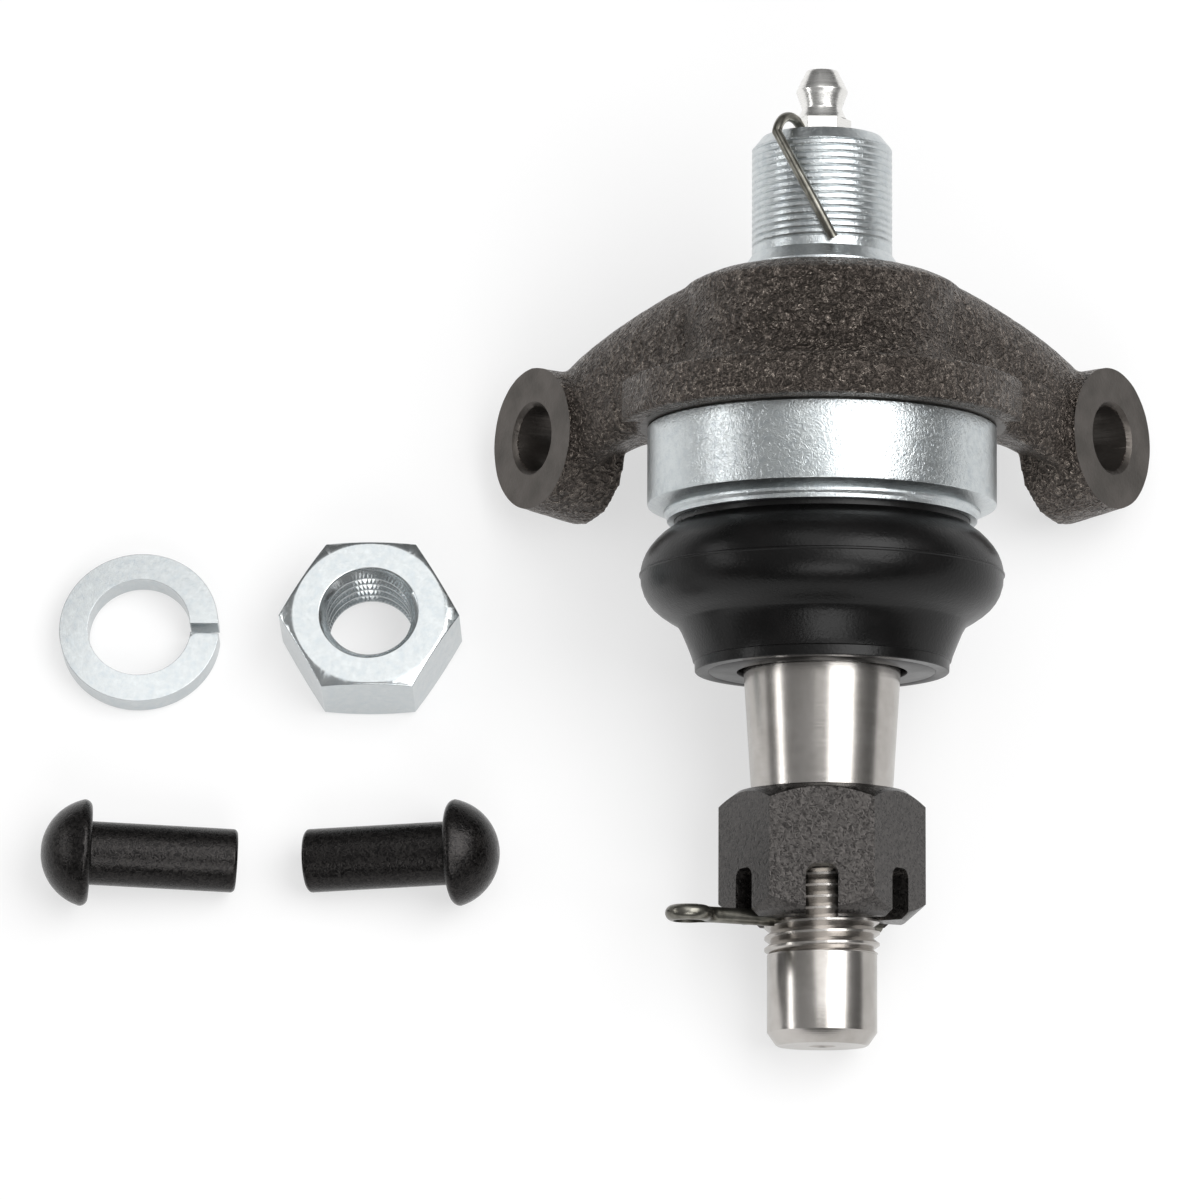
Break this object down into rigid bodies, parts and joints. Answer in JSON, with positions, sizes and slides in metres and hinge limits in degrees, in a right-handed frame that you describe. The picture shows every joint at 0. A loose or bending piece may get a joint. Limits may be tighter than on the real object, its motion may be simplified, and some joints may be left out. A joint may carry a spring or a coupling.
{
  "type": "suspension ball joint",
  "caption": "Ball joint in a forged yoke with two ear bosses, threaded shank, rubber boot and tapered stud; loose nut, washer and rivets beside it.",
  "frame": {"origin": "centre of the ball", "axes": "+Z away from the table that the part lies on, +X to the right along the two ear bosses, +Y along the table from the stud's tip towards the threaded shank. The stud's axis lies in the YZ plane, 16.4 degrees off -Y, tip down."},
  "size_m": [0.1393, 0.1199, 0.0536],
  "materials": {
    "forged_steel": "rough",
    "zinc_plate": "satin",
    "bearing_liner": "matt",
    "spring_steel": "satin",
    "bright_nickel": "polished",
    "dark_wire": "satin",
    "zinc_loose": "satin",
    "black_oxide": "satin",
    "boot_rubber": "satin",
    "ground_steel": "ground",
    "dark_phosphate": "satin"
  },
  "bodies": {
    "housing": {"yoke": "forged_steel", "housing": "zinc_plate", "closing_ring": "zinc_plate", "upper_bearing": "bearing_liner", "lower_bearing": "bearing_liner", "pressure_plate": "spring_steel", "preload_spring": "spring_steel", "boot_neck_ring": "spring_steel", "grease_fitting": "bright_nickel", "fitting_check_ball": "bright_nickel", "fitting_check_spring": "spring_steel", "hooked_wire": "dark_wire", "lock_washer": "zinc_loose", "jam_nut": "zinc_loose", "rivet_left": "black_oxide", "rivet_right": "black_oxide"},
    "boot": {"boot": "boot_rubber"},
    "boot_lip": {"boot_lip_ring": "spring_steel"},
    "stud": {"ball_stud": "ground_steel", "castle_nut": "dark_phosphate", "cotter_pin": "dark_wire"}
  },
  "joints": [
    {"name": "swing_fore", "type": "hinge", "parent": "housing", "child": "boot", "pos_m": [0, 0, 0], "axis": [1, 0, 0], "range_deg": [-17, 17], "deforming": ["boot"]},
    {"name": "swing_side", "type": "hinge", "parent": "boot", "child": "boot_lip", "pos_m": [0, 0, 0], "axis": [0, 0.2821, -0.9594], "range_deg": [-17, 17], "deforming": ["boot"]},
    {"name": "stud_spin", "type": "hinge", "parent": "boot_lip", "child": "stud", "pos_m": [0, 0, 0], "axis": [0, 0.9594, 0.2821], "continuous": true}
  ]
}
